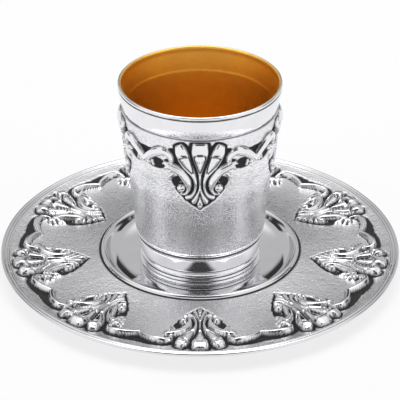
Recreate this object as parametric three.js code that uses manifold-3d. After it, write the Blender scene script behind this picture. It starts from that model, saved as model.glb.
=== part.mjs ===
// Kiddush cup standing in its saucer. Millimetres, +Z up, table at z = 0, axis of both pieces on Z.
import * as THREE from 'three';
import { mergeVertices } from 'three/addons/utils/BufferGeometryUtils.js';
import Module from 'manifold-3d';

const wasm = await Module();
wasm.setup();

// Driving dimensions.
const SAUCER_RADIUS = 77.5;
const SAUCER_WALL = 1.2;
const SAUCER_FLOOR = 1.6;          // thickness of the well's floor
const WELL_FLOOR_RADIUS = 27;      // flat floor that carries the cup
const SHOULDER_RADIUS = 37.4;      // crest of the polished ring round the well
const SHOULDER_HEIGHT = 7.0;
const EDGE_HEIGHT = 7.0;

const REST_GAP = 0.3;              // between the cup's foot and the well's floor
const CUP_BASE = SAUCER_FLOOR + REST_GAP;
const CUP_TOP = 78.1;
const CUP_RIM_RADIUS = 31;
const CUP_FOOT_RADIUS = 22.7;
const CUP_FLOOR_TOP = 4.6;

// Ornament: the same shell on both pieces, four on the cup and nine on the saucer.
const CUP_SHELLS = 4;
const SAUCER_SHELLS = 9;
const CUP_SHELL_TIP = 38.2;        // height of the tip on the cup's wall
const CUP_REACH = 28.4;            // mean radius of the cup's wall behind the ornament
const CUP_JOINT_HEIGHT = 56.4;     // where the scrolls of two shells meet on the cup
const CUP_RELIEF = 1;              // ridge heights on the cup, as a share of the drawn ones
const SAUCER_SHELL_TIP = 44;       // radius of the tip on the saucer
const SAUCER_REACH = 67;           // radius where a shell on the saucer has its drawn width
const SAUCER_SPREAD = 0.4;         // 0 keeps a shell's angles along its length, 1 keeps its width
const SAUCER_JOINT_RADIUS = 64.6;  // where the scrolls of two shells meet on the saucer
const SAUCER_RELIEF = 1.35;        // the saucer's relief is higher
const FRONT = -Math.PI / 2;        // azimuth of the first shell
const ROOT = 0.45;                 // how far a ridge is sunk into the wall under it

const CUP_SEGMENTS = 40;
const CAVITY_SEGMENTS = 32;
const SAUCER_SEGMENTS = 48;

// ---- Solids ----

function toSolid(geometry) {
  const bare = geometry.clone();
  bare.deleteAttribute('normal');
  bare.deleteAttribute('uv');
  const merged = mergeVertices(bare, 1e-4);
  const index = Array.from(merged.index.array);
  const triangles = [];
  for (let i = 0; i < index.length; i += 3) {
    const [a, b, c] = index.slice(i, i + 3);
    if (a !== b && b !== c && c !== a) triangles.push(a, b, c);
  }
  return new wasm.Manifold(new wasm.Mesh({
    numProp: 3,
    vertProperties: new Float32Array(merged.attributes.position.array),
    triVerts: new Uint32Array(triangles),
  }));
}

function toGeometry(solid) {
  const mesh = solid.getMesh();
  const geometry = new THREE.BufferGeometry();
  geometry.setAttribute('position', new THREE.BufferAttribute(new Float32Array(mesh.vertProperties), 3));
  geometry.setIndex(new THREE.BufferAttribute(new Uint32Array(mesh.triVerts), 1));
  const faceted = geometry.toNonIndexed();
  faceted.computeVertexNormals();
  return faceted;
}

// A body turned round Z from a closed profile of [radius, height] points, listed anticlockwise.
function turned(profile, segments) {
  const points = profile.map(([radius, height]) => new THREE.Vector2(radius, height));
  const geometry = new THREE.LatheGeometry(points, segments);
  geometry.rotateX(Math.PI / 2);
  geometry.rotateZ(FRONT);
  return toSolid(geometry);
}

// Radius or height read off a run of profile points by straight interpolation.
function along(run, from, to, value) {
  for (let i = 1; i < run.length; i++) {
    const [low, high] = [run[i - 1], run[i]];
    if (value <= high[from] || i === run.length - 1) {
      const share = (value - low[from]) / (high[from] - low[from]);
      return low[to] + share * (high[to] - low[to]);
    }
  }
}

// ---- Profiles, [radius, height] ----

const CUP_BODY = [[24.75, 16], [26.4, 34], [29.2, 68.2]];

function footRings() {
  const valley = CUP_FOOT_RADIUS - 0.1;
  const crest = CUP_FOOT_RADIUS + 0.6;
  const rings = [];
  let height = CUP_BASE;
  for (const thickness of [1.5, 1.5, 2.8]) {
    rings.push([crest, height + 0.5 * thickness], [valley, height + thickness]);
    height += thickness;
  }
  return rings;
}

const CUP_PROFILE = [
  [0, CUP_BASE], [CUP_FOOT_RADIUS, CUP_BASE], ...footRings(),
  [23.45, 8.6], [24.35, 14.2], [23.95, 15], ...CUP_BODY,
  [30.3, 72.1], [CUP_RIM_RADIUS, 76.4], [30.9, 77.6], [30.3, CUP_TOP], [0, CUP_TOP],
];

const CAVITY_PROFILE = [
  [0, CUP_FLOOR_TOP], [17.5, 5.6], [21.4, 9.5], [23, 15], [25.2, 34], [28, 68.5],
  [29.5, 77.2], [30.1, CUP_TOP + 0.4], [0, CUP_TOP + 0.4],
];

const SAUCER_DISH = [[38.8, 5.8], [56, 4.6], [73.8, 6]];

const SAUCER_PROFILE = [
  [0, 0], [29.5, 0], [34.2, 1.7], [38.5, 4.7], [56, 4.6 - SAUCER_WALL],
  [SAUCER_RADIUS - 0.9, EDGE_HEIGHT - 1.7], [SAUCER_RADIUS, EDGE_HEIGHT - 0.8],
  [SAUCER_RADIUS - 0.7, EDGE_HEIGHT], [SAUCER_RADIUS - 2.2, EDGE_HEIGHT - 0.5],
  ...SAUCER_DISH.slice().reverse(),
  [SHOULDER_RADIUS, SHOULDER_HEIGHT], [SHOULDER_RADIUS - 1, 6],
  [33.2, 2.7], [WELL_FLOOR_RADIUS, SAUCER_FLOOR], [0, SAUCER_FLOOR],
];

// ---- Ornament ----
// One shell is drawn in its own flat frame: p sideways from its axis, q from its tip towards its crest.
// A ridge runs through a few [p, q, half-width, height] stations. flat is the share of its width that is
// level on top.

const CENTRE_LOBE = {
  stations: [
    [0, 28.4, 2.3, 0.5], [0, 25.4, 3, 1.9], [0, 16.6, 0.9, 1], [0, 7.2, 0.6, 0.8],
    [0, 2.6, 2.9, 0.7], [0, 0, 0.5, 0.4],
  ],
  flat: 0.4,
};
const SIDE_LOBE = {
  stations: [
    [7.6, 27.4, 1.7, 0.5], [6.5, 24.7, 2.4, 1.8], [3.4, 17.7, 1.2, 1.1], [1.7, 10.6, 0.7, 0.9],
    [4.9, 4.9, 0.9, 0.6],
  ],
  flat: 0.3,
};
const SIDE_SCROLL = {
  stations: [
    [8.3, 10, 0.7, 1.2], [7.6, 7.3, 1, 1.4], [4.9, 7.8, 1, 1.3], [4.5, 12.2, 1.3, 1.2],
    [8, 16.9, 1.7, 1.5], [13.3, 18, 0.6, 0.9],
  ],
  flat: 0,
};

// The scroll that arches from a shell to the line halfway to the next one, [joint p, joint q].
function arch([jointP, jointQ]) {
  return {
    stations: [
      [10.9, 20.4, 0.8, 0.9], [13.2, 23.3, 1.4, 1.5], [jointP - 6.4, 23.2, 1.6, 1.7],
      [jointP - 2.8, jointQ + 1.8, 1.3, 1.5], [jointP, jointQ, 1, 1.2],
    ],
    flat: 0,
  };
}

// The closed solid of one ridge. place turns (p, q, height over the wall) into a point.
function ridge({ stations, flat }, place, side, lift) {
  const section = flat > 0 ? [[-1, 0], [-flat, 1], [flat, 1], [1, 0]] : [[-1, 0], [0, 1], [1, 0]];
  const ring = section.length;
  const last = stations.length - 1;
  const corners = [];
  stations.forEach(([p, q, halfWidth, height], i) => {
    const [before, after] = [stations[Math.max(i - 1, 0)], stations[Math.min(i + 1, last)]];
    const heading = new THREE.Vector2(side * (after[0] - before[0]), after[1] - before[1]).normalize();
    for (const [across, up] of section) {
      const reach = across * halfWidth * (up ? 1 : 1 + ROOT / (2 * height));
      corners.push(place(side * p + heading.y * reach, q - heading.x * reach, up ? height * lift : -ROOT));
    }
  });
  const faces = [];
  for (let start = 0; start < last * ring; start += ring) {
    for (let i = 0; i < ring; i++) {
      const [a, b] = [start + i, start + ((i + 1) % ring)];
      faces.push(a, b, b + ring, a, b + ring, a + ring);
    }
  }
  const end = last * ring;
  for (let i = 1; i < ring - 1; i++) faces.push(0, i + 1, i, end, end + i, end + i + 1);
  return closed(corners, faces);
}

// Corners and faces as a solid with its faces pointing out.
function closed(corners, faces) {
  const geometry = new THREE.BufferGeometry().setFromPoints(corners);
  let volume = 0;
  for (let i = 0; i < faces.length; i += 3) {
    const [a, b, c] = [corners[faces[i]], corners[faces[i + 1]], corners[faces[i + 2]]];
    volume += a.dot(new THREE.Vector3().crossVectors(b, c));
  }
  geometry.setIndex(volume < 0 ? faces.slice().reverse() : faces);
  return toSolid(geometry);
}

// All ridges of one shell with its scrolls, joined.
function ornament(place, lift, joint) {
  const parts = [ridge(CENTRE_LOBE, place, 1, lift)];
  for (const side of [-1, 1]) {
    for (const stroke of [SIDE_LOBE, SIDE_SCROLL, arch(joint)]) {
      parts.push(ridge(stroke, place, side, lift));
    }
  }
  return parts.reduce((joined, part) => joined.add(part));
}

// The ornament repeated round a turned wall. placeAt gives the place function of a shell at an azimuth.
function decorated(wall, count, placeAt, lift, joint) {
  let solid = wall;
  for (let i = 0; i < count; i++) {
    solid = solid.add(ornament(placeAt(FRONT + (2 * Math.PI * i) / count), lift, joint));
  }
  return solid;
}

// ---- Pieces ----

function cup() {
  const placeAt = (azimuth) => (p, q, height) => {
    const z = CUP_SHELL_TIP + q;
    const radius = along(CUP_BODY, 1, 0, z) + height;
    const turn = azimuth + p / CUP_REACH;
    return new THREE.Vector3(radius * Math.cos(turn), radius * Math.sin(turn), z);
  };
  const joint = [(Math.PI / CUP_SHELLS) * CUP_REACH, CUP_JOINT_HEIGHT - CUP_SHELL_TIP];
  const wall = turned(CUP_PROFILE, CUP_SEGMENTS);
  const outside = decorated(wall, CUP_SHELLS, placeAt, CUP_RELIEF, joint);
  return outside.subtract(turned(CAVITY_PROFILE, CAVITY_SEGMENTS));
}

function saucer() {
  const widening = (radius) => SAUCER_REACH * (radius / SAUCER_REACH) ** SAUCER_SPREAD;
  const placeAt = (azimuth) => (p, q, height) => {
    const radius = SAUCER_SHELL_TIP + q;
    const turn = azimuth + p / widening(radius);
    const z = along(SAUCER_DISH, 0, 1, radius) + height;
    return new THREE.Vector3(radius * Math.cos(turn), radius * Math.sin(turn), z);
  };
  const joint = [
    (Math.PI / SAUCER_SHELLS) * widening(SAUCER_JOINT_RADIUS),
    SAUCER_JOINT_RADIUS - SAUCER_SHELL_TIP,
  ];
  const wall = turned(SAUCER_PROFILE, SAUCER_SEGMENTS);
  return decorated(wall, SAUCER_SHELLS, placeAt, SAUCER_RELIEF, joint);
}

const silver = () => new THREE.MeshStandardMaterial({ color: 0xd6d7db, metalness: 1, roughness: 0.28 });

function piece(name, solid) {
  const mesh = new THREE.Mesh(toGeometry(solid), silver());
  mesh.name = name;
  return mesh;
}

const set = new THREE.Group();
set.add(piece('cup', cup()), piece('saucer', saucer()));

export default set;
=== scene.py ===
"""A silver kiddush cup with a gilt inside, standing in its saucer on a pale floor.

Blender objects are in metres. Outlines and ornament are drawn in millimetres, as a silversmith would.
"""

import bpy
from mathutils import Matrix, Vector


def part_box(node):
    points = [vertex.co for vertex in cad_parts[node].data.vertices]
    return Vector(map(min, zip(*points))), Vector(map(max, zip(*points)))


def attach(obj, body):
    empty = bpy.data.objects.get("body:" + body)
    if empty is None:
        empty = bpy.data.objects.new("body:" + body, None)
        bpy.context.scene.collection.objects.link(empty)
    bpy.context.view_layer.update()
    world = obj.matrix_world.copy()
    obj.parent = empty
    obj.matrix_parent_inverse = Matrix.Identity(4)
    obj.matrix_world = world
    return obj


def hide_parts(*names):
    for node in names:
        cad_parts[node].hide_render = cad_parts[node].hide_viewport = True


bl_info = {
    "name": "Kiddush Cup",
    "version": (1, 0, 0),
    "blender": (4, 5, 0),
    "location": "3D View > Sidebar > Kiddush Cup",
    "description": "Builds a silver kiddush cup and saucer with cast shell ornament",
    "category": "Add Mesh",
}

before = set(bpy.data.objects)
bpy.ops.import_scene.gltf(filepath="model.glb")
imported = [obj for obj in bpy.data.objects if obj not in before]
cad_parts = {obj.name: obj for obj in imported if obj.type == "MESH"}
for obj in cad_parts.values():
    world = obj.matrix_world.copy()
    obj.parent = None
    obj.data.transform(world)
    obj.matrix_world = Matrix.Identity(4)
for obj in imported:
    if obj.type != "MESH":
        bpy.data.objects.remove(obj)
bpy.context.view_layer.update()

from math import cos, pi, radians, sin, tan

import bpy
import numpy as np
from mathutils import Vector

CUP_LOW, CUP_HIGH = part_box("cup")
SAUCER_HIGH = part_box("saucer")[1]

MM = 0.001
FRONT = -pi / 2                  # azimuth of the first shell of each piece
JOIN_DISTANCE = 0.002 * MM       # points of neighbouring sectors closer than this are one

# Numbers of the outputs that are used of nodes with several.
GENERATED = 0                    # of Texture Coordinate
OBJECT_COORDINATES = 3           # of Texture Coordinate
FACTOR = 2                       # of Attribute
MIXED_COLOUR = 2                 # of Mix


# ---- Sizes and colours that a user may change ----

class CupSizes(bpy.types.PropertyGroup):
    rim_radius: bpy.props.FloatProperty(
        name="Rim radius", description="Outside radius of the lip",
        default=CUP_HIGH[0], min=0.01, unit="LENGTH", precision=4)
    top: bpy.props.FloatProperty(
        name="Top", description="Height of the lip above the table",
        default=CUP_HIGH[2], min=0.02, unit="LENGTH", precision=4)
    base: bpy.props.FloatProperty(
        name="Base", description="Height of the foot above the table",
        default=CUP_LOW[2], min=0.0, unit="LENGTH", precision=4)
    shells: bpy.props.IntProperty(
        name="Shells", description="Shells round the cup", default=4, min=3, max=6)
    relief: bpy.props.FloatProperty(
        name="Relief", description="Height of the ornament as a share of the drawn one",
        default=1.0, min=0.1, max=2.0, subtype="FACTOR")


class SaucerSizes(bpy.types.PropertyGroup):
    radius: bpy.props.FloatProperty(
        name="Radius", description="Outside radius of the rolled edge",
        default=SAUCER_HIGH[0], min=0.03, unit="LENGTH", precision=4)
    shells: bpy.props.IntProperty(
        name="Shells", description="Shells round the saucer", default=9, min=5, max=12)
    relief: bpy.props.FloatProperty(
        name="Relief", description="Height of the ornament as a share of the drawn one",
        default=1.2, min=0.1, max=2.0, subtype="FACTOR")


class Finishes(bpy.types.PropertyGroup):
    cup_silver: bpy.props.FloatVectorProperty(
        name="Cup silver", description="Colour of the cup's clean silver",
        default=(0.86, 0.86, 0.88), size=3, min=0.0, max=1.0, subtype="COLOR")
    saucer_silver: bpy.props.FloatVectorProperty(
        name="Saucer silver", description="Colour of the saucer's clean silver, which is greyer",
        default=(0.77, 0.77, 0.785), size=3, min=0.0, max=1.0, subtype="COLOR")
    # Colour of the tarnish on the sunk ground, also used for the painted shade in hollows, grooves and
    # creases.
    tarnish_and_shade: bpy.props.FloatVectorProperty(
        name="Tarnish", description="Colour of the darkened ground between the scrolls",
        default=(0.020, 0.020, 0.021), size=3, min=0.0, max=1.0, subtype="COLOR")
    gilt: bpy.props.FloatVectorProperty(
        name="Gilt", description="Colour of the gilding inside the cup",
        default=(1.0, 0.64, 0.14), size=3, min=0.0, max=1.0, subtype="COLOR")
    polished: bpy.props.FloatProperty(
        name="Polished roughness", description="Roughness of the bright bands and scrolls",
        default=0.06, min=0.0, max=1.0, subtype="FACTOR")
    cup_frosting: bpy.props.FloatProperty(
        name="Cup frosting", description="Roughness of the cup's matted wall",
        default=0.15, min=0.0, max=1.0, subtype="FACTOR")
    saucer_frosting: bpy.props.FloatProperty(
        name="Saucer frosting", description="Roughness of the saucer's matted dish",
        default=0.3, min=0.0, max=1.0, subtype="FACTOR")


class StageSettings(bpy.types.PropertyGroup):
    floor: bpy.props.FloatVectorProperty(
        name="Floor", description="Colour of the floor",
        default=(0.30, 0.30, 0.31), size=3, min=0.0, max=1.0, subtype="COLOR")
    surround: bpy.props.FloatProperty(
        name="Surround", description="Brightness of the room round the object",
        default=1.0, min=0.0, max=10.0)
    camera_distance: bpy.props.FloatProperty(
        name="Camera distance", description="From the middle of the cup to the camera",
        default=0.823, min=0.1, unit="LENGTH")
    camera_elevation: bpy.props.FloatProperty(
        name="Camera elevation", description="Angle of the view below the horizon",
        default=radians(29.59), min=0.0, max=pi / 2, subtype="ANGLE")


class KiddushCupSettings(bpy.types.PropertyGroup):
    cup: bpy.props.PointerProperty(type=CupSizes)
    saucer: bpy.props.PointerProperty(type=SaucerSizes)
    finishes: bpy.props.PointerProperty(type=Finishes)
    stage: bpy.props.PointerProperty(type=StageSettings)


# ---- Node trees ----

class Value:
    """A number or colour coming out of a node. Arithmetic on numbers adds Math nodes."""

    def __init__(self, maker, socket):
        self.maker = maker
        self.socket = socket

    def maths(self, operation, *others):
        sockets = dict(enumerate((self, *others)))
        return self.maker.node("ShaderNodeMath", {"operation": operation}, sockets)

    def __add__(self, other):
        return self.maths("ADD", other)

    def __mul__(self, other):
        return self.maths("MULTIPLY", other)

    def __sub__(self, other):
        return self.maths("SUBTRACT", other)

    def __truediv__(self, other):
        return self.maths("DIVIDE", other)

    def __rsub__(self, other):
        return self.maths("MULTIPLY", -1) + other

    def __abs__(self):
        return self.maths("ABSOLUTE")

    __radd__ = __add__

    def at_least(self, low):
        return self.maths("MAXIMUM", low)

    def rise(self, low, high):
        """0 below low and 1 above high, with a smooth step between them."""
        return self.maker.node(
            "ShaderNodeMapRange", {"interpolation_type": "SMOOTHSTEP"},
            {"Value": self, "From Min": low, "From Max": high})


class Maker:
    """Adds nodes to one tree."""

    def __init__(self, tree):
        self.tree = tree
        tree.nodes.clear()

    def node(self, kind, settings=None, sockets=None, output=0):
        """A node's output, after its settings and then its sockets' values or links are set."""
        node = self.tree.nodes.new(kind)
        for name, value in (settings or {}).items():
            setattr(node, name, value)
        for name, value in (sockets or {}).items():
            if isinstance(value, Value):
                self.tree.links.new(value.socket, node.inputs[name])
            else:
                node.inputs[name].default_value = value
        return Value(self, node.outputs[output]) if node.outputs else node

    def mixed(self, share, first, second):
        """Colour between first (share 0) and second (share 1)."""
        sockets = {0: share}
        for name, colour in ((6, first), (7, second)):
            sockets[name] = colour if isinstance(colour, Value) else (*colour, 1.0)
        return self.node("ShaderNodeMix", {"data_type": "RGBA"}, sockets, MIXED_COLOUR)

    def noise(self, where, size, detail=2.0, roughness=0.5):
        """Noise around 0.5 whose lumps are about size metres across."""
        sockets = {"Vector": where, "Scale": 1 / size, "Detail": detail, "Roughness": roughness}
        return self.node("ShaderNodeTexNoise", {"noise_dimensions": "3D"}, sockets)

    def attribute(self, name):
        """A number kept on the mesh's points."""
        return self.node("ShaderNodeAttribute", {"attribute_name": name}, output=FACTOR)


SILVER_BUMP = 0.045 * MM
GILT_BUMP = 0.05 * MM
DARK_ROUGHNESS = 0.55            # of fully darkened silver
WORN_GILT = (0.93, 0.86, 0.78)   # share of the gilding's colour that is left where it is worn


def new_material(name):
    material = bpy.data.materials.new(name)
    material.use_nodes = True
    return material, Maker(material.node_tree)


def silver_material(name, silver, frosted_roughness, finishes):
    """Silver, bright or frosted by the points' "frosted" number, and blackened by their tarnish-and-shade
    number. That number is tarnish on the sunk ground and painted shade in hollows, grooves and creases.
    """
    material, maker = new_material(name)
    where = maker.node("ShaderNodeTexCoord", output=OBJECT_COORDINATES)
    frosted = maker.attribute("frosted")
    tarnish_and_shade = maker.attribute("tarnish_and_shade")
    grain = maker.noise(where, 0.55 * MM, detail=1.5)
    speckle = maker.noise(where, 1.1 * MM, detail=2)
    cloud = maker.noise(where, 9 * MM, detail=3)

    # Blackening: tarnish on the sunk ground, and painted shade in hollows, grooves and creases.
    dark = (tarnish_and_shade + (speckle - 0.5) * 0.35 * tarnish_and_shade).rise(0.08, 0.92)
    clean = maker.mixed(cloud.rise(0.35, 0.75), silver, [0.95 * c for c in silver])
    frost = maker.mixed(frosted * speckle.rise(0.4, 0.7) * 0.4, clean, [0.72 * c for c in silver])
    colour = maker.mixed(dark, frost, finishes.tarnish_and_shade)

    smooth = finishes.polished + (cloud - 0.5) * 0.05
    rough = smooth + frosted * (frosted_roughness - finishes.polished + (speckle - 0.5) * 0.25)
    roughness = rough + dark * (DARK_ROUGHNESS - rough)
    metallic = 1 - dark * 0.55

    matting = grain * 2.2 + speckle * 2.4 + cloud * 4
    height = frosted * matting + tarnish_and_shade * speckle * 0.7 + cloud * 0.4
    bump = maker.node("ShaderNodeBump", None, {
        "Strength": 1.0, "Distance": SILVER_BUMP, "Height": height})
    shader = maker.node("ShaderNodeBsdfPrincipled", None, {
        "Base Color": colour, "Metallic": metallic, "Roughness": roughness, "Normal": bump})
    maker.node("ShaderNodeOutputMaterial", None, {"Surface": shader})
    return material


def gilt_material(name, finishes):
    """Gilding inside the cup, a little cloudy and worn."""
    material, maker = new_material(name)
    where = maker.node("ShaderNodeTexCoord", output=OBJECT_COORDINATES)
    cloud = maker.noise(where, 7 * MM, detail=4, roughness=0.6)
    fine = maker.noise(where, 0.8 * MM, detail=2)
    worn = [part * share for part, share in zip(finishes.gilt, WORN_GILT)]
    colour = maker.mixed(cloud.rise(0.3, 0.75), finishes.gilt, worn)
    roughness = 0.36 + (cloud - 0.5) * 0.16 + (fine - 0.5) * 0.08
    height = cloud + fine * 0.25
    bump = maker.node("ShaderNodeBump", None, {
        "Strength": 1.0, "Distance": GILT_BUMP, "Height": height})
    shader = maker.node("ShaderNodeBsdfPrincipled", None, {
        "Base Color": colour, "Metallic": 1.0, "Roughness": roughness, "Normal": bump})
    maker.node("ShaderNodeOutputMaterial", None, {"Surface": shader})
    return material


# ---- Ornament ----
# One shell is drawn flat, in millimetres: p sideways from its axis, q from its tip towards its crest.
# The side with positive p is drawn, and the other mirrors it. A stroke is a shape and its stations
# (p, q, half-width, height or depth). A bead is round. A lobe is flatter on top and has blunt ends.
# A spoon is laid into a lobe, with a groove round it that is darkened with painted shade. A cut goes into
# what is there, and is darkened with painted shade too.

CENTRE_LOBE = ((0, 28.0, 2.75, 1.3), (0, 26.2, 3.0, 2.0), (0, 24.2, 2.85, 2.0), (0, 21.6, 2.3, 1.6),
               (0, 19.3, 1.65, 1.25), (0, 17.2, 0.95, 1.1), (0, 15.2, 0.5, 1.05), (0, 11.5, 0.36, 1.0),
               (0, 8.6, 0.42, 0.95))
SPLIT_FOOT = ((0.1, 9.0, 0.35, 0.95), (0.7, 6.9, 0.5, 0.9), (1.6, 4.8, 0.8, 0.95), (2.25, 3.3, 1.0, 0.9))
TIP_DROP = ((0, 5.3, 0.12, 0.5), (0, 3.7, 0.55, 0.8), (0, 2.1, 1.0, 0.95), (0, 1.1, 0.85, 0.8),
            (0, 0.3, 0.3, 0.4))
SIDE_LOBE = ((7.4, 26.9, 1.6, 1.1), (6.75, 25.6, 2.1, 1.9), (6.1, 23.3, 2.25, 1.9), (5.4, 20.9, 2.1, 1.5),
             (4.2, 18.3, 1.6, 1.25), (3.0, 16.1, 1.05, 1.1), (2.1, 13.9, 0.72, 1.05),
             (1.7, 11.8, 0.56, 1.0), (1.65, 9.9, 0.48, 0.95), (2.0, 8.0, 0.46, 0.95),
             (2.85, 6.3, 0.6, 0.95), (3.9, 5.3, 0.8, 0.95), (4.9, 5.0, 0.85, 0.85))
SIDE_SCROLL = ((7.2, 6.75, 0.4, 1.2), (6.0, 6.55, 0.46, 1.2), (5.05, 7.15, 0.55, 1.2),
               (4.45, 8.4, 0.72, 1.2), (4.35, 9.7, 0.95, 1.2), (4.6, 11.3, 1.35, 1.25),
               (5.0, 12.6, 1.55, 1.3), (5.9, 14.2, 1.6, 1.4), (7.0, 15.8, 1.5, 1.5),
               (8.5, 17.1, 1.5, 1.6), (10.3, 18.0, 1.45, 1.6), (12.2, 18.5, 1.2, 1.4))
VOLUTE = ((7.15, 9.0, 1.55, 1.5), (7.2, 8.9, 1.55, 1.5))

SHELL = (
    ("lobe", CENTRE_LOBE),
    ("spoon", ((0, 23.1, 1.75, 1.35), (0, 21.9, 1.7, 1.3), (0, 20.3, 1.3, 1.2), (0, 18.6, 0.75, 1.15),
               (0, 16.9, 0.25, 1.1))),
    ("cut", ((-0.6, 24.5, 0.42, 1.1), (0.6, 24.5, 0.42, 1.1))),
    ("bead", SPLIT_FOOT),
    ("bead", TIP_DROP),
    ("cut", ((0, 2.8, 0.14, 0.4), (0, 1.9, 0.3, 0.7))),
    ("lobe", SIDE_LOBE),
    ("spoon", ((5.5, 21.9, 1.6, 1.3), (4.9, 20.4, 1.4, 1.25), (4.1, 18.8, 0.95, 1.2),
               (2.95, 16.6, 0.25, 1.1))),
    ("cut", ((5.0, 23.75, 0.4, 1.1), (6.0, 23.75, 0.4, 1.1))),
    ("bead", SIDE_SCROLL),
    ("cut", ((6.0, 16.2, 0.12, 0.3), (8.2, 18.1, 0.18, 0.45), (10.4, 19.0, 0.18, 0.45),
             (12.4, 19.4, 0.1, 0.3))),
    ("cut", ((6.8, 15.6, 0.1, 0.2), (8.6, 17.1, 0.16, 0.4), (10.4, 18.0, 0.16, 0.4),
             (12.6, 18.4, 0.1, 0.3))),
    ("bead", VOLUTE),
    ("cut", ((6.45, 8.8, 0.34, 1.1), (6.5, 8.8, 0.34, 1.1))),
    ("bead", ((11.8, 18.9, 0.8, 1.4), (13.1, 19.0, 0.7, 1.3), (14.1, 18.4, 0.4, 0.8))),
    ("bead", ((11.5, 17.7, 0.8, 1.4), (12.9, 17.0, 0.65, 1.1), (13.7, 16.0, 0.3, 0.6))),
    ("bead", ((10.3, 16.6, 0.8, 1.3), (11.1, 15.5, 0.6, 1.0), (11.6, 14.6, 0.25, 0.5))),
    ("cut", ((12.2, 16.7, 0.35, 0.8), (12.4, 16.3, 0.3, 0.7))),
    ("bead", ((9.9, 15.2, 0.5, 1.0), (10.9, 13.9, 0.6, 0.9), (11.9, 12.6, 0.22, 0.4))),
)

# Darkened ground, (margin round the stroke, stations).
SHELL_GROUND = (
    (0.95, CENTRE_LOBE), (0.8, SPLIT_FOOT), (0.7, TIP_DROP), (0.9, SIDE_LOBE), (0.75, SIDE_SCROLL),
    (0.7, VOLUTE),
    (0, ((8.2, 12.6, 1.4, 0), (9.7, 11.6, 1.4, 0), (9.6, 9.8, 0.8, 0))),
    (0, ((9.2, 19.6, 1.2, 0), (9.6, 22.0, 1.7, 0), (9.7, 24.2, 1.5, 0), (11.0, 24.7, 0.8, 0))),
    (0, ((8.6, 8.3, 1.2, 0), (6.7, 6.2, 1.2, 0), (4.9, 4.5, 1.2, 0), (2.7, 2.5, 1.2, 0),
         (0.7, 1.4, 1.2, 0), (0, 1.2, 1.2, 0))),
)
GROUND_DEPTH = 0.5   # how far the darkened ground lies under the wall
ARCH_TOP = 23.8      # q of the crown of the scroll between two shells


def arch(joint_p, joint_q, girth):
    """The scroll that arches from one shell to the joint with the next. girth is a share of its width."""
    def down(share):
        return joint_q + share * (ARCH_TOP - joint_q)
    stations = (
        (10.7, 20.2, 0.9, 1.1), (11.1, 22.2, 1.2, 1.3), (12.6, 23.6, 1.5, 1.5),
        (14.4, ARCH_TOP, 1.8, 1.7),
        (joint_p - 6.1, down(0.89), 1.8, 1.7), (joint_p - 4.3, down(0.68), 1.7, 1.6),
        (joint_p - 2.5, down(0.42), 1.55, 1.5), (joint_p - 1.1, down(0.16), 1.45, 1.4),
        (joint_p + 0.1, joint_q - 0.2, 1.4, 1.3),
    )
    return ("bead", tuple((p, q, width * girth, height) for p, q, width, height in stations))


def curls(joint_p, joint_q):
    """The small curls that fill the hollow under the arch."""
    return (
        ("bead", ((joint_p - 2.1, joint_q - 0.9, 0.85, 1.1),
                  (joint_p - 2.05, joint_q - 0.95, 0.85, 1.1))),
        ("cut", ((joint_p - 2.3, joint_q - 1.0, 0.3, 0.8), (joint_p - 2.25, joint_q - 1.0, 0.3, 0.8))),
        ("bead", ((joint_p + 0.1, joint_q - 1.6, 0.8, 1.1), (joint_p - 1.1, joint_q - 2.0, 0.55, 0.9),
                  (joint_p - 2.3, joint_q - 2.3, 0.3, 0.6))),
        ("bead", ((joint_p - 3.4, joint_q + 0.4, 0.3, 0.7), (joint_p - 4.0, joint_q - 1.8, 0.3, 0.7))),
    )


def smooth_path(stations, steps=8):
    """Stations along a Catmull-Rom curve through the given ones."""
    given = np.array(stations, float)
    ends = np.vstack((2 * given[0] - given[1], given, 2 * given[-1] - given[-2]))
    t = np.linspace(0, 1, steps, endpoint=False)[:, None]
    spans = [
        0.5 * (2 * b + (c - a) * t + (2 * a - 5 * b + 4 * c - d) * t**2 + (3 * b - a - 3 * c + d) * t**3)
        for a, b, c, d in zip(ends[:-3], ends[1:-2], ends[2:-1], ends[3:])
    ]
    return np.vstack((*spans, given[-1:]))


EDGE = 0.36          # width of the slope at a stroke's side
GROOVE = 0.42        # width of the line round a spoon
CULL = 2.5           # points farther than this from a stroke are left out of its sums
ROUND_END = 9.0      # wider than any stroke, so its ends are round
BLUNT_END = 0.9      # how far the ends of lobes and spoons stick out
LOBE_MARGIN = 0.85   # ground with a wider margin than this lies round a lobe
FAR = 99.0
THINNEST = 0.05      # least half-width of a stroke
TINY = 1e-6


def across(P, Q, stations, blunt):
    """For every point: its distance from a stroke's line as a share of the half-width, how far it is past
    the stroke's side, and the stroke's height there. A blunt stroke's ends stick out only that far."""
    path = smooth_path(stations)
    power = 3.0 if blunt < ROUND_END else 2.0
    share = np.full(P.shape, FAR)
    past = np.full(P.shape, FAR)
    height = np.zeros(P.shape)
    for (p0, q0, w0, h0), (p1, q1, w1, h1) in zip(path[:-1], path[1:]):
        length = max(np.hypot(p1 - p0, q1 - q0), TINY)
        ahead_p, ahead_q = (p1 - p0) / length, (q1 - q0) / length
        run = (P - p0) * ahead_p + (Q - q0) * ahead_q
        t = np.clip(run, 0, length) / length
        width = np.maximum(w0 + t * (w1 - w0), THINNEST)
        sideways = np.abs((P - p0) * ahead_q - (Q - q0) * ahead_p) / width
        beyond = np.abs(run - t * length)
        cap = np.minimum(width, blunt)
        here = (sideways**power + (beyond / cap)**power) ** (1 / power)
        side_share = sideways / np.maximum(sideways + beyond / cap, 1e-9)
        reach = np.where(beyond > 0, cap + (width - cap) * side_share, width)
        closer = here < share
        share = np.where(closer, here, share)
        height = np.where(closer, h0 + t * (h1 - h0), height)
        past = np.minimum(past, (here - 1) * reach)
    return share, past, height


def smoothstep(x, low, high):
    t = np.clip((x - low) / (high - low), 0, 1)
    return t * t * (3 - 2 * t)


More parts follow.
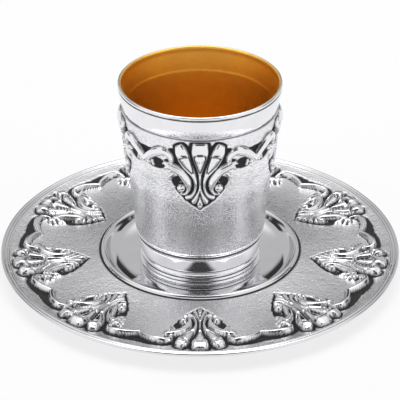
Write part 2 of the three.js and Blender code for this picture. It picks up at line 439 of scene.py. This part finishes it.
def near(P, Q, stations):
    """Which points may be touched by a stroke."""
    drawn = np.array(stations)
    reach = drawn[:, 2].max() + CULL
    low_p, low_q = drawn[:, :2].min(axis=0) - reach
    high_p, high_q = drawn[:, :2].max(axis=0) + reach
    return (P > low_p) & (P < high_p) & (Q > low_q) & (Q < high_q)


def carve(P, Q, strokes, heights, cover, lines):
    """Adds strokes to the points' heights, bright cover (0 to 1) and dark lines (0 to 1). The dark lines
    are painted shade in the grooves round spoons and in cuts.
    """
    for shape, stations in strokes:
        spot = near(P, Q, stations)
        if not spot.any():
            continue
        blunt = BLUNT_END if shape in ("lobe", "spoon") else ROUND_END
        share, past, height = across(P[spot], Q[spot], stations, blunt)
        inside = np.clip(share, 0, 1)
        before = heights[spot]
        within = 1 - smoothstep(past, -EDGE / 2, EDGE / 2)
        if shape == "bead":
            top = height * (0.3 + 0.7 * np.sqrt(1 - inside**2))
            after = np.maximum(before, before + within * (top - before))
        elif shape == "lobe":
            top = height * (0.45 + 0.55 * (1 - inside**4) ** 0.6)
            after = np.maximum(before, before + within * (top - before))
        elif shape == "spoon":
            top = height * (0.6 + 0.4 * np.sqrt(1 - inside**2))
            outer = smoothstep(past, EDGE / 2, GROOVE + EDGE / 2)
            line = smoothstep(past, -EDGE / 2, EDGE / 4) * (1 - outer)
            after = before + within * (top - before)
            after = after + line * (np.minimum(after, 0.15 * height) - after)
            # The groove round a spoon is darkened: painted shade.
            lines[spot] = np.maximum(lines[spot] * (1 - within), line)
        else:
            after = np.maximum(before - within * height * np.sqrt(1 - 0.8 * inside**2), -GROUND_DEPTH)
            after = np.minimum(after, before)
            # A cut is darkened: painted shade in its groove.
            lines[spot] = np.maximum(lines[spot], within * min(1, height.max()))
        heights[spot] = after
        if shape != "cut":
            cover[spot] = np.maximum(cover[spot], within)


def ground_mask(P, Q, grounds):
    """1 on the darkened ground, 0 off it."""
    mask = np.zeros(P.shape)
    for margin, stations in grounds:
        spot = near(P, Q, stations)
        if spot.any():
            blunt = BLUNT_END if margin > LOBE_MARGIN else ROUND_END
            past = across(P[spot], Q[spot], stations, blunt)[1]
            within = 1 - smoothstep(past, margin - EDGE / 2, margin + EDGE / 2)
            mask[spot] = np.maximum(mask[spot], within)
    return mask


def softened(heights, cells):
    """Heights averaged over a round spot of so many cells."""
    span = int(3 * cells)
    weights = np.exp(-0.5 * (np.arange(-span, span + 1) / cells) ** 2)
    weights /= weights.sum()
    padded = np.pad(heights, span, mode="reflect")
    rows = sum(w * padded[i:i + heights.shape[0]] for i, w in enumerate(weights))
    return sum(w * rows[:, i:i + heights.shape[1]] for i, w in enumerate(weights))


HOLLOW_WIDTH = 0.55              # millimetres over which a hollow counts as one
HOLLOW_SHADE_DEPTHS = (0.12, 0.5)      # depths at which the painted shade in a hollow starts and is full
# How dark the painted shade in the grooves round spoons and in cuts is.
LINE_SHADE = 0.95


def ornament(P, Q, linked, joint_here, more_ground, cell):
    """Height, darkening and bright cover of the points. The darkening is tarnish on the sunk ground, with
    painted shade in hollows and grooves. linked are the strokes that run on to the next shell, joint_here
    is the joint's p at each point's q, and cell is about how far apart points are."""
    side = np.abs(P)
    other = 2 * joint_here - side
    grounds = SHELL_GROUND + more_ground
    ground = np.maximum(ground_mask(side, Q, grounds), ground_mask(other, Q, grounds))
    heights = -GROUND_DEPTH * ground
    cover = np.zeros(P.shape)
    lines = np.zeros(P.shape)
    carve(side, Q, SHELL, heights, cover, lines)
    carve(side, Q, linked, heights, cover, lines)
    carve(other, Q, linked, heights, cover, lines)
    # Painted shade: points lower than their surroundings are darkened. It is laid over the tarnish on the
    # sunk ground.
    hollow = softened(heights, HOLLOW_WIDTH / cell) - heights
    tarnish_and_shade = np.maximum(ground * (1 - cover), smoothstep(hollow, *HOLLOW_SHADE_DEPTHS))
    tarnish_and_shade = np.maximum(tarnish_and_shade, LINE_SHADE * lines)
    return heights, tarnish_and_shade, cover


# ---- Turned bodies with ornament ----

class Outline:
    """Rows of points of one sector, from the axis under the piece to the axis on its top side."""

    def __init__(self, count, columns):
        self.count = count
        self.columns = columns
        self.rows = []
        self.points = []
        self.frosted = []
        self.tarnish_and_shade = []
        self.faces = []
        self.gilt = []
        self.lined = False

    def row(self, radius, height, columns, frosted=0.0, tarnish_and_shade=0.0):
        """One row, in millimetres. 0 columns is a single point on the axis."""
        steps = np.linspace(-0.5, 0.5, columns + 1) if columns else np.zeros(1)
        turn = FRONT + steps * 2 * pi / self.count
        radius, height, frosted, tarnish_and_shade = (
            np.broadcast_to(v, turn.shape) for v in (radius, height, frosted, tarnish_and_shade))
        start = len(self.points)
        self.points.extend(np.column_stack((radius * np.cos(turn), radius * np.sin(turn), height)) * MM)
        self.frosted.extend(frosted)
        self.tarnish_and_shade.extend(tarnish_and_shade)
        new = list(range(start, len(self.points)))
        if self.rows:
            self.strip(self.rows[-1], new)
        self.rows.append(new)

    def strip(self, old, new):
        """Faces between two rows. One may have twice the columns of the other, or be a point."""
        columns_old, columns_new = len(old) - 1, len(new) - 1
        faces = []
        if columns_old == columns_new:
            faces = [(old[i], old[i + 1], new[i + 1], new[i]) for i in range(columns_old)]
        elif columns_old == 0:
            faces = [(old[0], new[i + 1], new[i]) for i in range(columns_new)]
        elif columns_new == 0:
            faces = [(old[i], old[i + 1], new[0]) for i in range(columns_old)]
        elif columns_new == 2 * columns_old:
            for i in range(columns_old):
                a, b, (c, d, e) = old[i], old[i + 1], new[2 * i:2 * i + 3]
                faces += [(a, d, c), (a, b, d), (b, e, d)]
        else:
            for i in range(columns_new):
                (a, b, c), d, e = old[2 * i:2 * i + 3], new[i], new[i + 1]
                faces += [(a, b, d), (b, e, d), (b, c, e)]
        self.faces += faces
        self.gilt += [self.lined] * len(faces)

    def plain(self, points, columns=None, frosted=0.0, tarnish_and_shade=0.0):
        """Rows of even radius and height through (radius, height) points."""
        for radius, height in points:
            self.row(radius, height, 0 if radius == 0 else columns or self.columns, frosted, tarnish_and_shade)

    def mesh(self, name):
        mesh = bpy.data.meshes.new(name)
        mesh.from_pydata([tuple(p) for p in self.points], [], self.faces)
        for attribute, values in (("frosted", self.frosted), ("tarnish_and_shade", self.tarnish_and_shade)):
            layer = mesh.attributes.new(attribute, "FLOAT", "POINT")
            layer.data.foreach_set("value", np.array(values, np.float32))
        layer = mesh.attributes.new("gilt", "BOOLEAN", "FACE")
        layer.data.foreach_set("value", self.gilt)
        return mesh


def curve(points, rows):
    """Points evenly along a rounded line through the given ones."""
    path = smooth_path(points, 12)
    gone = np.concatenate(([0], np.cumsum(np.hypot(*np.diff(path, axis=0).T))))
    even = np.linspace(0, gone[-1], rows)
    return list(zip(np.interp(even, gone, path[:, 0]), np.interp(even, gone, path[:, 1])))


def bulge(start, end, height, rows):
    """Points along a low arc from start to end that stands out to the right by height."""
    (r0, z0), (r1, z1) = start, end
    length = np.hypot(r1 - r0, z1 - z0)
    out = np.array((z1 - z0, r0 - r1)) / length
    points = []
    for share in np.linspace(0, 1, rows):
        on_line = np.array((r0 + (r1 - r0) * share, z0 + (z1 - z0) * share))
        points.append(tuple(on_line + out * height * sin(pi * share)))
    return points


def repeat_tree(name):
    """Geometry nodes that turn one sector into a whole body and give it its metals."""
    tree = bpy.data.node_groups.new(name, "GeometryNodeTree")
    tree.is_modifier = True
    maker = Maker(tree)
    for label, kind in (("Sector", "Geometry"), ("Sectors", "Int"), ("Join Distance", "Float"),
                        ("Metal", "Material"), ("Lining", "Material")):
        tree.interface.new_socket(label, in_out="INPUT", socket_type="NodeSocket" + kind)
    tree.interface.new_socket("Body", in_out="OUTPUT", socket_type="NodeSocketGeometry")
    given = tree.nodes.new("NodeGroupInput")
    sector, sectors, distance, metal, lining = (Value(maker, socket) for socket in given.outputs[:5])
    turn = maker.node("GeometryNodeInputIndex") * (2 * pi) / sectors
    turned = maker.node("ShaderNodeCombineXYZ", None, {"Z": turn})
    rotation = maker.node("FunctionNodeEulerToRotation", None, {0: turned})
    posts = maker.node("GeometryNodePoints", None, {"Count": sectors, "Position": (0, 0, 0)})
    ring = maker.node("GeometryNodeInstanceOnPoints", None, {
        "Points": posts, "Instance": sector, "Rotation": rotation})
    whole = maker.node("GeometryNodeRealizeInstances", None, {"Geometry": ring})
    joined = maker.node("GeometryNodeMergeByDistance", None, {"Geometry": whole, "Distance": distance})
    smooth = maker.node("GeometryNodeSetShadeSmooth", None, {"Geometry": joined})
    silvered = maker.node("GeometryNodeSetMaterial", None, {"Geometry": smooth, "Material": metal})
    gilt = maker.node("GeometryNodeInputNamedAttribute", {"data_type": "BOOLEAN"}, {"Name": "gilt"})
    lined = maker.node("GeometryNodeSetMaterial", None, {
        "Geometry": silvered, "Selection": gilt, "Material": lining})
    maker.node("NodeGroupOutput", None, {"Body": lined})
    return tree


def whole_body(name, outline, metal, lining):
    """An object whose mesh is the outline's sector repeated round the axis."""
    body = bpy.data.objects.new(name, outline.mesh(name + " sector"))
    bpy.context.collection.objects.link(body)
    modifier = body.modifiers.new("Repeat", "NODES")
    modifier.node_group = repeat_tree(name + " repeat")
    values = {"Sectors": outline.count, "Join Distance": JOIN_DISTANCE, "Metal": metal, "Lining": lining}
    for item in modifier.node_group.interface.items_tree:
        if item.in_out == "INPUT" and item.name in values:
            modifier[item.identifier] = values[item.name]
    evaluated = body.evaluated_get(bpy.context.evaluated_depsgraph_get())
    mesh = bpy.data.meshes.new_from_object(evaluated)
    body.modifiers.clear()
    body.data = mesh
    return body


# ---- Cup, millimetres ----

FOOT_RINGS = (1.5, 1.5, 2.8)     # thickness of the beads round the foot
FOOT_VALLEY = 22.6
FOOT_CREST = 23.3
FOOT_LIP = 0.25                  # the foot's fine lower edge
FLOOR_TOP = 4.6
SHELL_TIP = 38.2                 # height of a shell's tip on the wall
SHELL_REACH = 28.4               # radius at which the shells on the wall have their drawn width
CUP_JOINT = 56.4                 # height where the scrolls of two shells meet
CUP_ARCH_GIRTH = 1.0             # width of those scrolls as a share of the drawn one
CUP_COLUMNS = 42                 # in a sector, away from the ornament
CUP_CELL = 0.27                  # spacing of the points in the ornament
CUP_RELIEF_ROWS = 112
RELIEF_FROM = 36.6
RELIEF_TO = 67.4
WALL_FROM = 16                   # height where the matted wall starts
WALL_HEIGHT = 52.2
WALL_FOOT_RADIUS = 24.75
WALL_WIDENING = 0.0944           # per millimetre of height
WALL_BOW = 0.00006               # how strongly the wall bows out between its ends
RIPPLE = 0.05
RIPPLE_LENGTH = 11
LIP_RADIUS = 0.72                # of the rounded lip's section

# Darkened ground under the arches of the cup's scrolls, beyond the shells' own.
CUP_GROUND = (
    (0, ((14.4, 17.6, 1.5, 0), (16.4, 17.8, 2.3, 0), (18.6, 17.2, 1.7, 0))),
    (0, ((18.6, 23.3, 0.4, 0), (20.2, 22.4, 1.1, 0), (22.4, 21.8, 1.9, 0))),
)


def wall_radius(height):
    """The wall widens upwards and is a little uneven from the hammer."""
    up = height - WALL_FROM
    bow = WALL_BOW * up * (WALL_HEIGHT - up)
    return WALL_FOOT_RADIUS + WALL_WIDENING * up + bow + RIPPLE * sin(2 * pi * up / RIPPLE_LENGTH)


def cup_outline(sizes):
    """From under the foot up the outside, over the lip and down the gilt inside."""
    base, top, rim = sizes.base / MM, sizes.top / MM, sizes.rim_radius / MM
    sole = base - FOOT_LIP
    fine = 4 * CUP_COLUMNS
    outline = Outline(sizes.shells, CUP_COLUMNS)
    outline.plain([(0, sole), (12, sole), (22.2, sole), (FOOT_VALLEY + 0.1, sole + 0.1)])
    height = base
    for thickness in FOOT_RINGS:
        ring = bulge((FOOT_VALLEY, height + 0.12), (FOOT_VALLEY, height + thickness - 0.12),
                     FOOT_CREST - FOOT_VALLEY, 7)
        # The valleys between the foot's beads are darkened: painted shade in the creases.
        outline.plain(ring[:1], tarnish_and_shade=0.8)
        outline.plain(ring[1:-1])
        outline.plain(ring[-1:], tarnish_and_shade=0.8)
        height += thickness
    outline.plain(curve([(22.75, 7.8), (23.2, 8.1), (23.45, 8.7)], 4))
    outline.plain(bulge((23.47, 8.9), (24.33, 14.2), -0.12, 7))
    # This groove is darkened: painted shade.
    outline.plain([(24.25, 14.45), (23.95, 14.7), (23.9, 15.0)], tarnish_and_shade=0.75)
    outline.plain(bulge((24.3, 15.15), (24.72, 16.1), 0.14, 5))
    # Painted shade where the wall meets the bead below it.
    outline.plain([(wall_radius(16.4), 16.35)], frosted=0.6, tarnish_and_shade=0.2)
    lower = np.linspace(16.8, RELIEF_FROM - 0.6, 12)
    outline.plain([(wall_radius(z), z) for z in lower], frosted=1.0)
    outline.plain([(wall_radius(RELIEF_FROM - 0.3), RELIEF_FROM - 0.3)], 2 * CUP_COLUMNS, frosted=1.0)

    heights = np.linspace(RELIEF_FROM, RELIEF_TO, CUP_RELIEF_ROWS)
    spread = np.linspace(-pi, pi, fine + 1) / sizes.shells * SHELL_REACH
    P, Q = np.meshgrid(spread, heights - SHELL_TIP)
    joint = pi / sizes.shells * SHELL_REACH
    joint_at = (joint, CUP_JOINT - SHELL_TIP)
    linked = (arch(*joint_at, CUP_ARCH_GIRTH), *curls(*joint_at))
    lift, tarnish_and_shade, cover = ornament(P, Q, linked, joint, CUP_GROUND, CUP_CELL)
    # dark is tarnish on the sunk ground, with painted shade in the hollows and grooves.
    for z, up, dark, bright in zip(heights, lift, tarnish_and_shade, cover):
        outline.row(wall_radius(z) + up * sizes.relief, z, fine, 1 - bright, dark)

    outline.plain([(wall_radius(67.55), 67.55)], 2 * CUP_COLUMNS, frosted=1.0)
    outline.plain([(wall_radius(67.7), 67.7)], frosted=0.8)
    # The step under the rim band is darkened: painted shade.
    outline.plain([(29.0, 67.85), (29.0, 68.0)], tarnish_and_shade=0.7)
    outline.plain(curve([(29.24, 68.2), (29.4, 68.9), (29.8, 70.4), (30.3, 72.5), (30.68, 74.6),
                         (rim - 0.14, 76.0)], 10), frosted=0.1)
    # The underside of the lip is darkened: painted shade.
    outline.plain([(rim - 0.22, 76.25)], tarnish_and_shade=0.4)
    outline.plain([(rim - 0.34, 76.45), (rim - 0.32, 76.65)], tarnish_and_shade=1.0)
    lip = [(rim - LIP_RADIUS + LIP_RADIUS * cos(a), top - LIP_RADIUS + LIP_RADIUS * sin(a))
           for a in np.linspace(-0.7, pi * 0.9, 11)]
    outline.plain(lip[:8])
    outline.lined = True
    outline.plain(lip[8:])
    inside = curve([(29.6, 76.9), (29.25, 75.0), (28.7, 72.0), (28.25, 69.4)], 6)
    inside += [(28.15, 68.8), (28.08, 68.6)]
    inside += curve([(28.0, 68.0), (27.5, 63.5), (26.1, 46), (24.9, 30), (23.6, 18), (22.2, 11),
                     (19.5, 6.9), (15.5, 5.1), (9, FLOOR_TOP + 0.05), (3, FLOOR_TOP)], 34)
    outline.plain(inside + [(0, FLOOR_TOP)])
    return outline


# ---- Saucer, millimetres ----

SAUCER_TIP = 44                  # radius of a shell's tip
SAUCER_REACH = 67                # radius where a shell has its drawn width
SAUCER_SPREAD = 0.4              # 0 keeps a shell's angles along its length, 1 keeps its width
SAUCER_JOINT = 64.6              # radius where the scrolls of two shells meet
SAUCER_ARCH_GIRTH = 0.72         # width of those scrolls as a share of the drawn one
SAUCER_COLUMNS = 30              # in a sector, away from the ornament
SAUCER_CELL = 0.4                # spacing of the points in the ornament
SAUCER_RELIEF_ROWS = 72
EDGE_CLEARANCE = 0.002           # keeps the rolled edge inside the solid's
DISH_LOWEST_AT = 56
DISH_LOW = 4.6
DISH_CURVE = 0.0042
OUTER_STEEPER = 1.05             # the dish rises this much faster outside its lowest ring

# Darkened ground between the saucer's scrolls and its edge, beyond the shells' own.
SAUCER_GROUND = (
    (0, ((10.4, 24.3, 1.0, 0), (13.0, 25.4, 1.3, 0), (16.5, 25.4, 1.6, 0), (20.0, 24.5, 2.2, 0),
         (23.4, 23.6, 2.6, 0))),
)


def dish_height(radius):
    """The dish is lowest between its well and its edge and rises to both."""
    steeper = 1.0 if radius < DISH_LOWEST_AT else OUTER_STEEPER
    return DISH_LOW + DISH_CURVE * (radius - DISH_LOWEST_AT) ** 2 * steeper


def saucer_outline(sizes):
    """From the middle underneath out to the rolled edge and back over the dish into the well."""
    edge = sizes.radius / MM - EDGE_CLEARANCE
    fine = 4 * SAUCER_COLUMNS
    outline = Outline(sizes.shells, SAUCER_COLUMNS)
    outline.plain([(0, 0), (15, 0), (29.2, 0)])
    outline.plain(curve([(29.8, 0.1), (34.2, 1.7), (36.4, 3.6), (38.5, 4.6), (42, 4.3), (56, 3.4),
                         (68, 4.1), (edge - 1.6, 5.1)], 16))
    outline.plain(curve([(edge - 0.8, 5.35), (edge - 0.1, 5.9), (edge, 6.3), (edge - 0.25, 6.8),
                         (edge - 0.9, 7.0), (edge - 1.35, 6.8)], 8))
    # The grooves in the rolled edge are darkened: painted shade.
    outline.plain([(edge - 1.5, 6.6), (edge - 1.75, 6.6)], tarnish_and_shade=0.35)
    outline.plain([(edge - 1.9, 6.8), (edge - 2.15, 6.85), (edge - 2.4, 6.7)])
    outline.plain([(edge - 2.55, 6.45), (edge - 2.8, 6.4)], tarnish_and_shade=0.35)
    outline.plain([(edge - 2.95, 6.5), (edge - 3.2, 6.4)])
    # Painted shade where the rolled edge meets the dish.
    outline.plain([(edge - 3.45, dish_height(edge - 3.45))], frosted=0.7, tarnish_and_shade=0.2)
    outline.plain([(edge - 3.6, dish_height(edge - 3.6))], 2 * SAUCER_COLUMNS, frosted=1.0)

    radii = np.linspace(edge - 3.8, SAUCER_TIP - 0.6, SAUCER_RELIEF_ROWS)
    sector = np.linspace(-pi, pi, fine + 1) / sizes.shells
    widening = SAUCER_REACH * (radii / SAUCER_REACH) ** SAUCER_SPREAD
    P = widening[:, None] * sector[None, :]
    Q = np.repeat((radii - SAUCER_TIP)[:, None], fine + 1, axis=1)
    joint_here = (widening * pi / sizes.shells)[:, None]
    joint = pi / sizes.shells * SAUCER_REACH * (SAUCER_JOINT / SAUCER_REACH) ** SAUCER_SPREAD
    linked = (arch(joint, SAUCER_JOINT - SAUCER_TIP, SAUCER_ARCH_GIRTH),)
    lift, tarnish_and_shade, cover = ornament(P, Q, linked, joint_here, SAUCER_GROUND, SAUCER_CELL)
    # dark is tarnish on the sunk ground, with painted shade in the hollows and grooves.
    for radius, up, dark, bright in zip(radii, lift, tarnish_and_shade, cover):
        outline.row(radius, dish_height(radius) + up * sizes.relief, fine, 1 - bright, dark)

    outline.plain([(43.1, dish_height(43.1))], 2 * SAUCER_COLUMNS, frosted=1.0)
    outline.plain([(r, dish_height(r)) for r in (42.7, 41.8, 40.8, 40.1)], frosted=1.0)
    # The groove round the well is darkened: painted shade.
    outline.plain([(39.6, dish_height(39.6))], frosted=1.0, tarnish_and_shade=0.3)
    outline.plain([(39.1, 5.7), (38.75, 5.6), (38.65, 5.8)], tarnish_and_shade=0.95)
    outline.plain(curve([(38.6, 6.1), (38.2, 6.7), (37.4, 7.0), (36.7, 6.6), (36.2, 5.8), (35.2, 4.2),
                         (33.2, 2.7), (30.5, 1.95), (27.5, 1.62)], 18))
    outline.plain([(26.5, 1.6), (13, 1.6), (0, 1.6)])
    return outline


# ---- Stage ----

AIM_HEIGHT = 26.7 * MM
LENS = 192.1                     # millimetres, on the sensor below
SENSOR_WIDTH = 36
CLIP_START = 0.01
FLOOR_SIZE = 12.0
FLOOR_GLOW = 0.67                # the floor's own light, so that it stays paler than the room makes it
SOFTBOX_PLACE = (0, 0.25, 1.3)
SOFTBOX_SIZE = (1.0, 0.7)
SOFTBOX_POWER = 5
SOFTBOX_AIM = (0, 0, 0.03)
OPENING_DARK = 0.93              # light missing from the opening over the camera
LOW_DARK = 0.4                   # light missing from the lower wall behind the object
SPOT_DARK = 0.56                 # further light missing from the spots on that wall
HIGH_BRIGHT = 0.2                # extra light from high behind the object


def slope(degrees):
    return tan(radians(degrees))


def world_light(surround):
    """A bright room with a dark opening over the camera, and a dim wall with dark spots behind."""
    world = bpy.data.worlds.new("Studio")
    bpy.context.scene.world = world
    world.use_nodes = True
    maker = Maker(world.node_tree)
    direction = maker.node("ShaderNodeTexCoord", output=GENERATED)
    parts = maker.node("ShaderNodeSeparateXYZ", None, {"Vector": direction})
    x, y, z = (Value(maker, socket) for socket in parts.socket.node.outputs)
    flat = (x * x + y * y).maths("SQRT").at_least(0.001)
    sideways, behind, climb = x / flat, y / flat, z / flat
    facing = (behind * -1).rise(cos(radians(48)), cos(radians(26)))
    opening = facing * climb.rise(slope(20), slope(34)) * OPENING_DARK
    low = behind.rise(-0.1, 0.15) * (1 - climb.rise(slope(36), slope(50)))
    band = climb.rise(slope(6), slope(10)) * (1 - climb.rise(slope(23), slope(28)))
    ends = abs(sideways).rise(0.84, 0.89) * SPOT_DARK
    middle = (1 - abs(sideways).rise(0.28, 0.34)) * SPOT_DARK
    high = behind.rise(0.3, 0.8) * climb.rise(slope(45), slope(56)) * HIGH_BRIGHT
    level = (1 + high - opening - low * (LOW_DARK + band * (ends + middle))) * surround
    light = maker.node("ShaderNodeBackground", None, {"Color": (1.0, 1.0, 1.0, 1.0), "Strength": level})
    maker.node("ShaderNodeOutputWorld", None, {"Surface": light})


def softbox():
    """A weak area light over the object, aimed at it."""
    data = bpy.data.lights.new("Overhead softbox", "AREA")
    data.shape = "RECTANGLE"
    data.size, data.size_y = SOFTBOX_SIZE
    data.energy = SOFTBOX_POWER
    lamp = bpy.data.objects.new("Overhead softbox", data)
    lamp.location = SOFTBOX_PLACE
    aim = Vector(SOFTBOX_AIM) - Vector(SOFTBOX_PLACE)
    lamp.rotation_euler = aim.to_track_quat("-Z", "Y").to_euler()
    bpy.context.collection.objects.link(lamp)
    return lamp


def floor_plane(colour):
    half = FLOOR_SIZE / 2
    corners = [(-half, -half, 0), (half, -half, 0), (half, half, 0), (-half, half, 0)]
    mesh = bpy.data.meshes.new("Floor")
    mesh.from_pydata(corners, [], [(0, 1, 2, 3)])
    material, maker = new_material("Pale floor")
    shader = maker.node("ShaderNodeBsdfPrincipled", None, {
        "Base Color": (*colour, 1.0), "Roughness": 0.9,
        "Emission Color": (1, 1, 1, 1), "Emission Strength": FLOOR_GLOW})
    maker.node("ShaderNodeOutputMaterial", None, {"Surface": shader})
    mesh.materials.append(material)
    floor = bpy.data.objects.new("Floor", mesh)
    bpy.context.collection.objects.link(floor)
    return floor


def add_camera(settings):
    data = bpy.data.cameras.new("Camera")
    data.lens = LENS
    data.sensor_width = SENSOR_WIDTH
    data.clip_start = CLIP_START
    camera = bpy.data.objects.new("Camera", data)
    tilt = settings.camera_elevation
    back = settings.camera_distance
    camera.location = (0, -back * cos(tilt), AIM_HEIGHT + back * sin(tilt))
    camera.rotation_euler = (pi / 2 - tilt, 0, 0)
    bpy.context.collection.objects.link(camera)
    bpy.context.scene.camera = camera


# ---- Operators ----

class AddCup(bpy.types.Operator):
    """Adds the cup with its four shells and gilt inside"""
    bl_idname = "kiddush.add_cup"
    bl_label = "Add Cup"

    def execute(self, context):
        settings = context.scene.kiddush_cup
        finishes = settings.finishes
        silver = silver_material("Cup silver", finishes.cup_silver, finishes.cup_frosting, finishes)
        gilt = gilt_material("Cup gilding", finishes)
        cup = whole_body("Cup", cup_outline(settings.cup), silver, gilt)
        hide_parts("cup")
        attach(cup, "root")
        return {"FINISHED"}


class AddSaucer(bpy.types.Operator):
    """Adds the saucer with its nine shells"""
    bl_idname = "kiddush.add_saucer"
    bl_label = "Add Saucer"

    def execute(self, context):
        settings = context.scene.kiddush_cup
        finishes = settings.finishes
        silver = silver_material(
            "Saucer silver", finishes.saucer_silver, finishes.saucer_frosting, finishes)
        saucer = whole_body("Saucer", saucer_outline(settings.saucer), silver, silver)
        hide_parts("saucer")
        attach(saucer, "root")
        return {"FINISHED"}


class AddStage(bpy.types.Operator):
    """Adds the floor, the studio light and the camera"""
    bl_idname = "kiddush.add_stage"
    bl_label = "Add Stage"

    def execute(self, context):
        settings = context.scene.kiddush_cup.stage
        world_light(settings.surround)
        floor = floor_plane(settings.floor)
        overhead = softbox()
        add_camera(settings)
        context.scene.view_settings.view_transform = "Standard"
        return {"FINISHED"}


class KiddushCupPanel(bpy.types.Panel):
    bl_idname = "VIEW3D_PT_kiddush_cup"
    bl_label = "Kiddush Cup"
    bl_space_type = "VIEW_3D"
    bl_region_type = "UI"
    bl_category = "Kiddush Cup"

    def draw(self, context):
        settings = context.scene.kiddush_cup
        groups = ((settings.cup, AddCup), (settings.saucer, AddSaucer), (settings.stage, AddStage))
        for group, operator in groups:
            box = self.layout.box()
            for name in group.__annotations__:
                box.prop(group, name)
            box.operator(operator.bl_idname)
        finishes = self.layout.box()
        for name in settings.finishes.__annotations__:
            finishes.prop(settings.finishes, name)


CLASSES = (
    CupSizes, SaucerSizes, Finishes, StageSettings, KiddushCupSettings,
    AddCup, AddSaucer, AddStage, KiddushCupPanel,
)


def register():
    for cls in CLASSES:
        bpy.utils.register_class(cls)
    bpy.types.Scene.kiddush_cup = bpy.props.PointerProperty(type=KiddushCupSettings)


def unregister():
    del bpy.types.Scene.kiddush_cup
    for cls in reversed(CLASSES):
        bpy.utils.unregister_class(cls)


def main():
    register()
    bpy.ops.kiddush.add_cup()
    bpy.ops.kiddush.add_saucer()
    bpy.ops.kiddush.add_stage()


if __name__ == "__main__":
    main()
